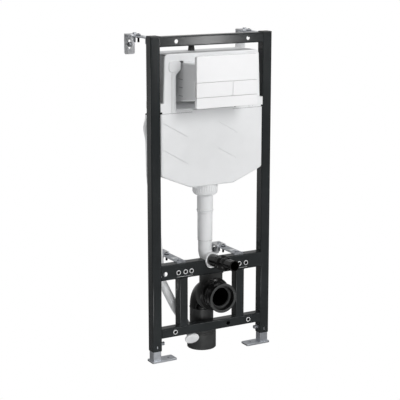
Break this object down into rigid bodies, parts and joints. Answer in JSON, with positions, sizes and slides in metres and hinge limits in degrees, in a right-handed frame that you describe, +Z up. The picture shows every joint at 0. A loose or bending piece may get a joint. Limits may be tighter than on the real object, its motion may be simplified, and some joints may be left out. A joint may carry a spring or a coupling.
{
  "type": "wall hung toilet frame",
  "caption": "Steel frame on sliding legs with a concealed cistern, dual flush plate, flush pipe and waste elbow, for hanging a toilet bowl on a wall.",
  "frame": {"origin": "on the floor, under the middle of the whole part's box", "axes": "+X to the right seen from the front, +Y to the wall behind, +Z up"},
  "size_m": [0.509, 0.3626, 1.1975],
  "materials": {
    "powder_coat": "satin dark grey powder coat",
    "zinc": "zinc plated",
    "white_plastic": "white moulded, satin",
    "white_gloss": "white, smooth",
    "black_plastic": "black moulded",
    "black_pipe": "black pipe, slight sheen",
    "black_rubber": "black moulded rubber"
  },
  "bodies": {
    "frame": {"left_upright": "powder_coat", "left_short_post": "powder_coat", "left_end_cap": "black_plastic", "left_leg_bolt": "zinc", "left_bowl_nuts": "zinc", "left_lower_nut": "zinc", "left_top_wall_bracket": "zinc", "left_top_strap": "zinc", "left_middle_wall_bracket": "zinc", "left_middle_strap": "zinc", "right_upright": "powder_coat", "right_short_post": "powder_coat", "right_end_cap": "black_plastic", "right_leg_bolt": "zinc", "right_bowl_nuts": "zinc", "right_lower_nut": "zinc", "right_top_wall_bracket": "zinc", "right_top_strap": "zinc", "right_middle_wall_bracket": "zinc", "right_middle_strap": "zinc", "top_bar": "powder_coat", "middle_bar": "powder_coat", "lower_bar": "powder_coat", "elbow_holder": "black_plastic", "cistern_lower_shell": "white_plastic", "cistern_upper_shell": "white_plastic", "service_shaft": "white_plastic", "flush_pipe_nut": "white_plastic", "flush_pipe": "white_plastic", "flush_elbow": "white_plastic", "conduit_cap": "white_plastic", "flush_plate": "white_gloss", "inlet_fitting": "black_plastic", "conduit_spigot": "black_plastic", "flush_connector": "black_rubber", "waste_socket": "black_pipe", "waste_elbow": "black_pipe", "waste_adapter": "black_plastic", "conduit_pipe": "white_plastic"},
    "left_leg": {"left_leg": "zinc", "left_foot_plate": "zinc"},
    "right_leg": {"right_leg": "zinc", "right_foot_plate": "zinc"},
    "large_button": {"large_button": "white_gloss"},
    "small_button": {"small_button": "white_gloss"}
  },
  "joints": [
    {"name": "left_leg_slide", "type": "slide", "parent": "frame", "child": "left_leg", "axis": [0, 0, -1], "range_m": [-0.03, 0.17]},
    {"name": "right_leg_slide", "type": "slide", "parent": "frame", "child": "right_leg", "axis": [0, 0, -1], "range_m": [-0.03, 0.17]},
    {"name": "large_button_press", "type": "slide", "parent": "frame", "child": "large_button", "axis": [0, 1, 0], "range_m": [0, 0.0035], "stiffness_N_per_m": 2500, "springref_m": -0.002},
    {"name": "small_button_press", "type": "slide", "parent": "frame", "child": "small_button", "axis": [0, 1, 0], "range_m": [0, 0.0035], "stiffness_N_per_m": 2500, "springref_m": -0.002}
  ]
}
